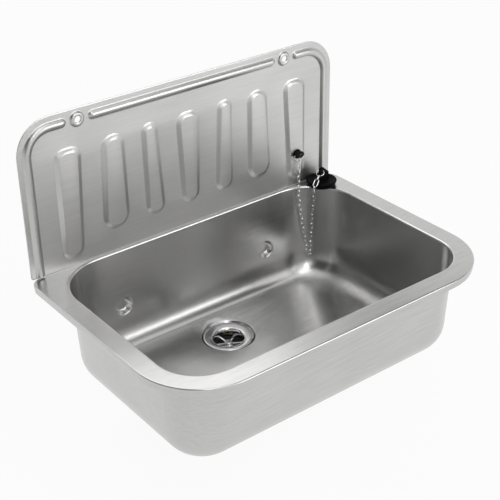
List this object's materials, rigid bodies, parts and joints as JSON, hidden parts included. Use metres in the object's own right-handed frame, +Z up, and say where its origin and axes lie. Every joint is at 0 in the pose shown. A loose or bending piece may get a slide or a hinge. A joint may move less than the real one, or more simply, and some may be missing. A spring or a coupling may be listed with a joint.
{
  "type": "wall-hung utility sink",
  "caption": "Wall-hung utility sink: a deep bowl drawn from thin steel sheet with a folded rim, a ribbed splashback with fixing holes, a strainer waste, and a rubber plug on a chain.",
  "frame": {"origin": "wall plane at the rear face of the folded rim edge, on the centre line, at half the height of that edge", "axes": "+X to the right seen from the front, +Y back into the wall, +Z up"},
  "size_m": [0.5, 0.336, 0.4174],
  "materials": {
    "basin_steel": "satin stainless sheet, faint drawing lines",
    "panel_steel": "satin stainless sheet, pressed ribs",
    "waste_chrome": "polished",
    "seal_rubber": "matte black",
    "waste_plastic": "moulded black",
    "insert_brass": "turned",
    "screw_steel": "bright stainless",
    "anchor_screw_black": "blackened",
    "fixing_steel": "zinc plated",
    "anchor_plastic": "moulded black, soft gloss",
    "chain_metal": "bright plated wire",
    "plug_rubber": "moulded black rubber"
  },
  "bodies": {
    "sink": {"basin": "basin_steel", "splashback": "panel_steel", "waste_flange": "waste_chrome", "flange_seal": "seal_rubber", "floor_seal": "seal_rubber", "waste_body": "waste_plastic", "waste_insert": "insert_brass", "clamp_screw": "screw_steel", "screw_washer": "screw_steel", "anchor_screw": "anchor_screw_black", "anchor_washer": "fixing_steel", "anchor_nut": "fixing_steel"},
    "anchor_run": {"anchor_head": "anchor_plastic", "shackle": "chain_metal", "anchor_chain": "chain_metal"},
    "plug": {"plug": "plug_rubber", "plug_ring": "chain_metal", "ring_links": "chain_metal"},
    "plug_run": {"plug_link": "chain_metal", "plug_chain": "chain_metal"}
  },
  "joints": [
    {"name": "anchor_swing", "type": "hinge", "parent": "sink", "child": "anchor_run", "pos_m": [0.18266, -0.01038, 0.055], "axis": [0, 1, 0], "range_deg": [0, 35]},
    {"name": "plug_lift", "type": "slide", "parent": "sink", "child": "plug", "axis": [0, 0, 1], "range_m": [0, 0.08]},
    {"name": "plug_chain_swing", "type": "hinge", "parent": "plug", "child": "plug_run", "pos_m": [0.19898, -0.03114, 0.0185], "axis": [-0.4226, 0.9063, 0], "range_deg": [0, 25]}
  ]
}
